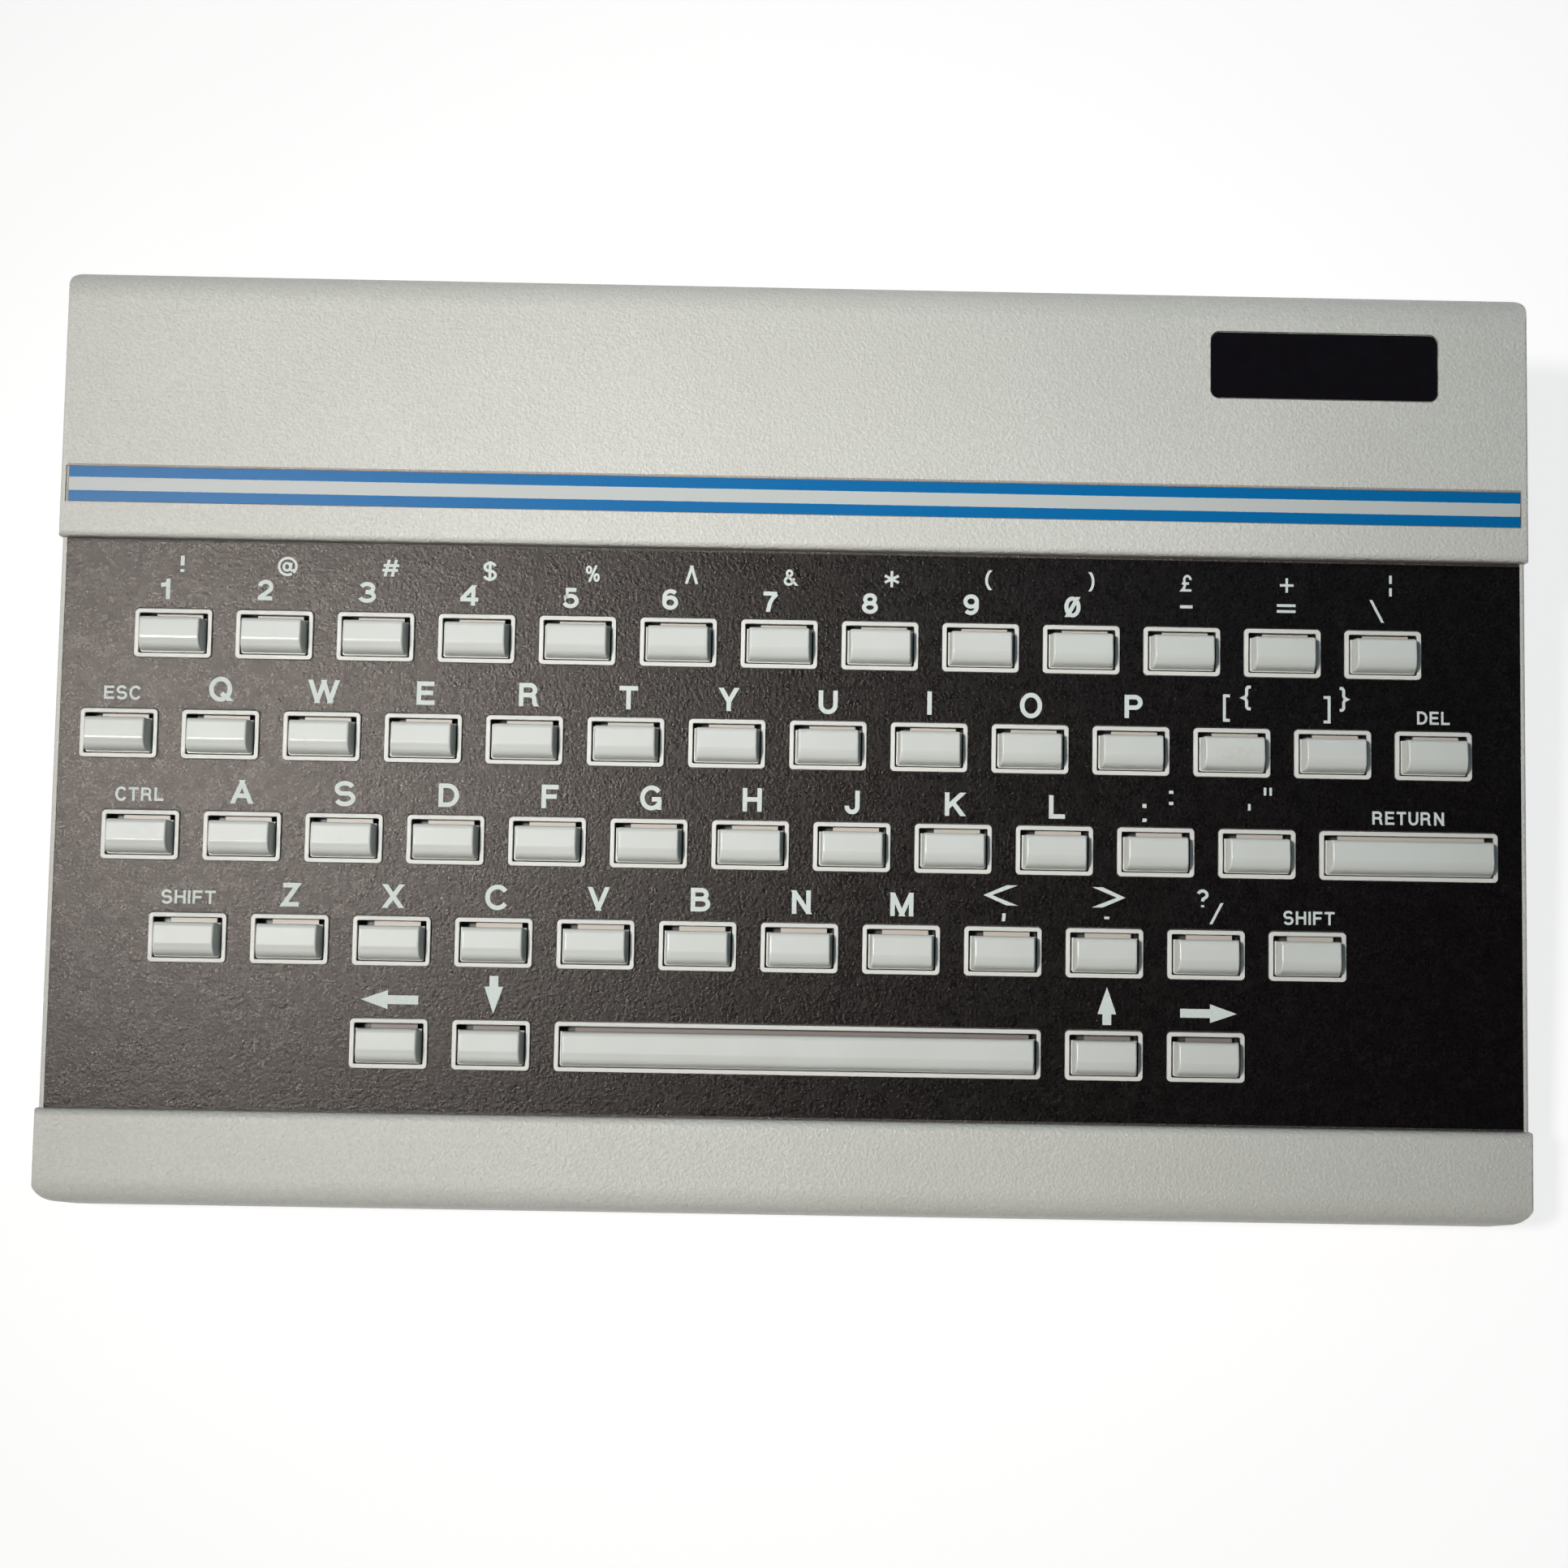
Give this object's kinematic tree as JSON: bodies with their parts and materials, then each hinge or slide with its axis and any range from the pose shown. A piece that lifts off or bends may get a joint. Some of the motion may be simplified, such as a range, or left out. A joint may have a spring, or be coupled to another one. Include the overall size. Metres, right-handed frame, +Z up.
{
  "type": "home computer",
  "caption": "Wedge-shaped home computer with a sloping deck of sprung calculator-style keys, a two-part case, circuit boards and rear sockets.",
  "frame": {"origin": "middle of the footprint, on the plane of the rubber feet", "axes": "+X to the right along the key rows, +Y to the rear, +Z up"},
  "size_m": [0.2776, 0.174, 0.0501],
  "materials": {
    "upper_case": "fine moulded texture, light warm grey",
    "lower_case": "fine moulded texture, light warm grey",
    "key_fascia": "printed black sheet with a faint orange-peel gloss",
    "stripe_tape": "grey tape with two blue stripes",
    "badge_plate": "bare glossy black plate",
    "keyboard_board": "green circuit board",
    "key_mat": "grey silicone rubber",
    "keyboard_ribbon": "grey flat cable",
    "main_board": "green circuit board",
    "board_chips": "black moulded packages",
    "heat_sink": "plain aluminium",
    "tv_modulator": "tinned steel can",
    "din_sockets": "black moulded socket",
    "pin_headers": "black shroud",
    "power_socket": "black moulded socket",
    "speaker": "black paper cone in a steel basket",
    "rubber_feet": "black rubber",
    "case_screws": "zinc plated steel",
    "reset_button": "red button",
    "key_plastic": "smooth moulded plastic, light warm grey"
  },
  "bodies": {
    "case": {"upper_case": "upper_case", "lower_case": "lower_case", "key_fascia": "key_fascia", "stripe_tape": "stripe_tape", "badge_plate": "badge_plate", "keyboard_board": "keyboard_board", "key_mat": "key_mat", "keyboard_ribbon": "keyboard_ribbon", "main_board": "main_board", "board_chips": "board_chips", "heat_sink": "heat_sink", "tv_modulator": "tv_modulator", "din_sockets": "din_sockets", "pin_headers": "pin_headers", "power_socket": "power_socket", "speaker": "speaker", "rubber_feet": "rubber_feet", "case_screws": "case_screws"},
    "control_keys": {"control_keys": "key_plastic"},
    "symbol_keys": {"symbol_keys": "key_plastic"},
    "cursor_keys": {"cursor_keys": "key_plastic"},
    "key_1": {"key_1": "key_plastic"},
    "key_2": {"key_2": "key_plastic"},
    "key_3": {"key_3": "key_plastic"},
    "key_4": {"key_4": "key_plastic"},
    "key_5": {"key_5": "key_plastic"},
    "key_6": {"key_6": "key_plastic"},
    "key_7": {"key_7": "key_plastic"},
    "key_8": {"key_8": "key_plastic"},
    "key_9": {"key_9": "key_plastic"},
    "key_0": {"key_0": "key_plastic"},
    "key_q": {"key_q": "key_plastic"},
    "key_w": {"key_w": "key_plastic"},
    "key_e": {"key_e": "key_plastic"},
    "key_r": {"key_r": "key_plastic"},
    "key_t": {"key_t": "key_plastic"},
    "key_y": {"key_y": "key_plastic"},
    "key_u": {"key_u": "key_plastic"},
    "key_i": {"key_i": "key_plastic"},
    "key_o": {"key_o": "key_plastic"},
    "key_p": {"key_p": "key_plastic"},
    "key_a": {"key_a": "key_plastic"},
    "key_s": {"key_s": "key_plastic"},
    "key_d": {"key_d": "key_plastic"},
    "key_f": {"key_f": "key_plastic"},
    "key_g": {"key_g": "key_plastic"},
    "key_h": {"key_h": "key_plastic"},
    "key_j": {"key_j": "key_plastic"},
    "key_k": {"key_k": "key_plastic"},
    "key_l": {"key_l": "key_plastic"},
    "key_z": {"key_z": "key_plastic"},
    "key_x": {"key_x": "key_plastic"},
    "key_c": {"key_c": "key_plastic"},
    "key_v": {"key_v": "key_plastic"},
    "key_b": {"key_b": "key_plastic"},
    "key_n": {"key_n": "key_plastic"},
    "key_m": {"key_m": "key_plastic"},
    "key_return": {"key_return": "key_plastic"},
    "key_space": {"key_space": "key_plastic"},
    "reset_button": {"reset_button": "reset_button"}
  },
  "joints": [
    {"name": "control_keys_travel", "type": "slide", "parent": "case", "child": "control_keys", "axis": [0, 0.1736, -0.9848], "range_m": [0, 0.0015], "stiffness_N_per_m": 200, "springref_m": -0.001},
    {"name": "symbol_keys_travel", "type": "slide", "parent": "case", "child": "symbol_keys", "axis": [0, 0.1736, -0.9848], "range_m": [0, 0.0015], "stiffness_N_per_m": 200, "springref_m": -0.001},
    {"name": "cursor_keys_travel", "type": "slide", "parent": "case", "child": "cursor_keys", "axis": [0, 0.1736, -0.9848], "range_m": [0, 0.0015], "stiffness_N_per_m": 200, "springref_m": -0.001},
    {"name": "key_1_travel", "type": "slide", "parent": "case", "child": "key_1", "axis": [0, 0.1736, -0.9848], "range_m": [0, 0.0015], "stiffness_N_per_m": 200, "springref_m": -0.001},
    {"name": "key_2_travel", "type": "slide", "parent": "case", "child": "key_2", "axis": [0, 0.1736, -0.9848], "range_m": [0, 0.0015], "stiffness_N_per_m": 200, "springref_m": -0.001},
    {"name": "key_3_travel", "type": "slide", "parent": "case", "child": "key_3", "axis": [0, 0.1736, -0.9848], "range_m": [0, 0.0015], "stiffness_N_per_m": 200, "springref_m": -0.001},
    {"name": "key_4_travel", "type": "slide", "parent": "case", "child": "key_4", "axis": [0, 0.1736, -0.9848], "range_m": [0, 0.0015], "stiffness_N_per_m": 200, "springref_m": -0.001},
    {"name": "key_5_travel", "type": "slide", "parent": "case", "child": "key_5", "axis": [0, 0.1736, -0.9848], "range_m": [0, 0.0015], "stiffness_N_per_m": 200, "springref_m": -0.001},
    {"name": "key_6_travel", "type": "slide", "parent": "case", "child": "key_6", "axis": [0, 0.1736, -0.9848], "range_m": [0, 0.0015], "stiffness_N_per_m": 200, "springref_m": -0.001},
    {"name": "key_7_travel", "type": "slide", "parent": "case", "child": "key_7", "axis": [0, 0.1736, -0.9848], "range_m": [0, 0.0015], "stiffness_N_per_m": 200, "springref_m": -0.001},
    {"name": "key_8_travel", "type": "slide", "parent": "case", "child": "key_8", "axis": [0, 0.1736, -0.9848], "range_m": [0, 0.0015], "stiffness_N_per_m": 200, "springref_m": -0.001},
    {"name": "key_9_travel", "type": "slide", "parent": "case", "child": "key_9", "axis": [0, 0.1736, -0.9848], "range_m": [0, 0.0015], "stiffness_N_per_m": 200, "springref_m": -0.001},
    {"name": "key_0_travel", "type": "slide", "parent": "case", "child": "key_0", "axis": [0, 0.1736, -0.9848], "range_m": [0, 0.0015], "stiffness_N_per_m": 200, "springref_m": -0.001},
    {"name": "key_q_travel", "type": "slide", "parent": "case", "child": "key_q", "axis": [0, 0.1736, -0.9848], "range_m": [0, 0.0015], "stiffness_N_per_m": 200, "springref_m": -0.001},
    {"name": "key_w_travel", "type": "slide", "parent": "case", "child": "key_w", "axis": [0, 0.1736, -0.9848], "range_m": [0, 0.0015], "stiffness_N_per_m": 200, "springref_m": -0.001},
    {"name": "key_e_travel", "type": "slide", "parent": "case", "child": "key_e", "axis": [0, 0.1736, -0.9848], "range_m": [0, 0.0015], "stiffness_N_per_m": 200, "springref_m": -0.001},
    {"name": "key_r_travel", "type": "slide", "parent": "case", "child": "key_r", "axis": [0, 0.1736, -0.9848], "range_m": [0, 0.0015], "stiffness_N_per_m": 200, "springref_m": -0.001},
    {"name": "key_t_travel", "type": "slide", "parent": "case", "child": "key_t", "axis": [0, 0.1736, -0.9848], "range_m": [0, 0.0015], "stiffness_N_per_m": 200, "springref_m": -0.001},
    {"name": "key_y_travel", "type": "slide", "parent": "case", "child": "key_y", "axis": [0, 0.1736, -0.9848], "range_m": [0, 0.0015], "stiffness_N_per_m": 200, "springref_m": -0.001},
    {"name": "key_u_travel", "type": "slide", "parent": "case", "child": "key_u", "axis": [0, 0.1736, -0.9848], "range_m": [0, 0.0015], "stiffness_N_per_m": 200, "springref_m": -0.001},
    {"name": "key_i_travel", "type": "slide", "parent": "case", "child": "key_i", "axis": [0, 0.1736, -0.9848], "range_m": [0, 0.0015], "stiffness_N_per_m": 200, "springref_m": -0.001},
    {"name": "key_o_travel", "type": "slide", "parent": "case", "child": "key_o", "axis": [0, 0.1736, -0.9848], "range_m": [0, 0.0015], "stiffness_N_per_m": 200, "springref_m": -0.001},
    {"name": "key_p_travel", "type": "slide", "parent": "case", "child": "key_p", "axis": [0, 0.1736, -0.9848], "range_m": [0, 0.0015], "stiffness_N_per_m": 200, "springref_m": -0.001},
    {"name": "key_a_travel", "type": "slide", "parent": "case", "child": "key_a", "axis": [0, 0.1736, -0.9848], "range_m": [0, 0.0015], "stiffness_N_per_m": 200, "springref_m": -0.001},
    {"name": "key_s_travel", "type": "slide", "parent": "case", "child": "key_s", "axis": [0, 0.1736, -0.9848], "range_m": [0, 0.0015], "stiffness_N_per_m": 200, "springref_m": -0.001},
    {"name": "key_d_travel", "type": "slide", "parent": "case", "child": "key_d", "axis": [0, 0.1736, -0.9848], "range_m": [0, 0.0015], "stiffness_N_per_m": 200, "springref_m": -0.001},
    {"name": "key_f_travel", "type": "slide", "parent": "case", "child": "key_f", "axis": [0, 0.1736, -0.9848], "range_m": [0, 0.0015], "stiffness_N_per_m": 200, "springref_m": -0.001},
    {"name": "key_g_travel", "type": "slide", "parent": "case", "child": "key_g", "axis": [0, 0.1736, -0.9848], "range_m": [0, 0.0015], "stiffness_N_per_m": 200, "springref_m": -0.001},
    {"name": "key_h_travel", "type": "slide", "parent": "case", "child": "key_h", "axis": [0, 0.1736, -0.9848], "range_m": [0, 0.0015], "stiffness_N_per_m": 200, "springref_m": -0.001},
    {"name": "key_j_travel", "type": "slide", "parent": "case", "child": "key_j", "axis": [0, 0.1736, -0.9848], "range_m": [0, 0.0015], "stiffness_N_per_m": 200, "springref_m": -0.001},
    {"name": "key_k_travel", "type": "slide", "parent": "case", "child": "key_k", "axis": [0, 0.1736, -0.9848], "range_m": [0, 0.0015], "stiffness_N_per_m": 200, "springref_m": -0.001},
    {"name": "key_l_travel", "type": "slide", "parent": "case", "child": "key_l", "axis": [0, 0.1736, -0.9848], "range_m": [0, 0.0015], "stiffness_N_per_m": 200, "springref_m": -0.001},
    {"name": "key_z_travel", "type": "slide", "parent": "case", "child": "key_z", "axis": [0, 0.1736, -0.9848], "range_m": [0, 0.0015], "stiffness_N_per_m": 200, "springref_m": -0.001},
    {"name": "key_x_travel", "type": "slide", "parent": "case", "child": "key_x", "axis": [0, 0.1736, -0.9848], "range_m": [0, 0.0015], "stiffness_N_per_m": 200, "springref_m": -0.001},
    {"name": "key_c_travel", "type": "slide", "parent": "case", "child": "key_c", "axis": [0, 0.1736, -0.9848], "range_m": [0, 0.0015], "stiffness_N_per_m": 200, "springref_m": -0.001},
    {"name": "key_v_travel", "type": "slide", "parent": "case", "child": "key_v", "axis": [0, 0.1736, -0.9848], "range_m": [0, 0.0015], "stiffness_N_per_m": 200, "springref_m": -0.001},
    {"name": "key_b_travel", "type": "slide", "parent": "case", "child": "key_b", "axis": [0, 0.1736, -0.9848], "range_m": [0, 0.0015], "stiffness_N_per_m": 200, "springref_m": -0.001},
    {"name": "key_n_travel", "type": "slide", "parent": "case", "child": "key_n", "axis": [0, 0.1736, -0.9848], "range_m": [0, 0.0015], "stiffness_N_per_m": 200, "springref_m": -0.001},
    {"name": "key_m_travel", "type": "slide", "parent": "case", "child": "key_m", "axis": [0, 0.1736, -0.9848], "range_m": [0, 0.0015], "stiffness_N_per_m": 200, "springref_m": -0.001},
    {"name": "key_return_travel", "type": "slide", "parent": "case", "child": "key_return", "axis": [0, 0.1736, -0.9848], "range_m": [0, 0.0015], "stiffness_N_per_m": 200, "springref_m": -0.001},
    {"name": "key_space_travel", "type": "slide", "parent": "case", "child": "key_space", "axis": [0, 0.1736, -0.9848], "range_m": [0, 0.0015], "stiffness_N_per_m": 200, "springref_m": -0.001},
    {"name": "reset_button_travel", "type": "slide", "parent": "case", "child": "reset_button", "axis": [0, 0, 1], "range_m": [0, 0.0008], "stiffness_N_per_m": 400, "springref_m": -0.0005}
  ]
}
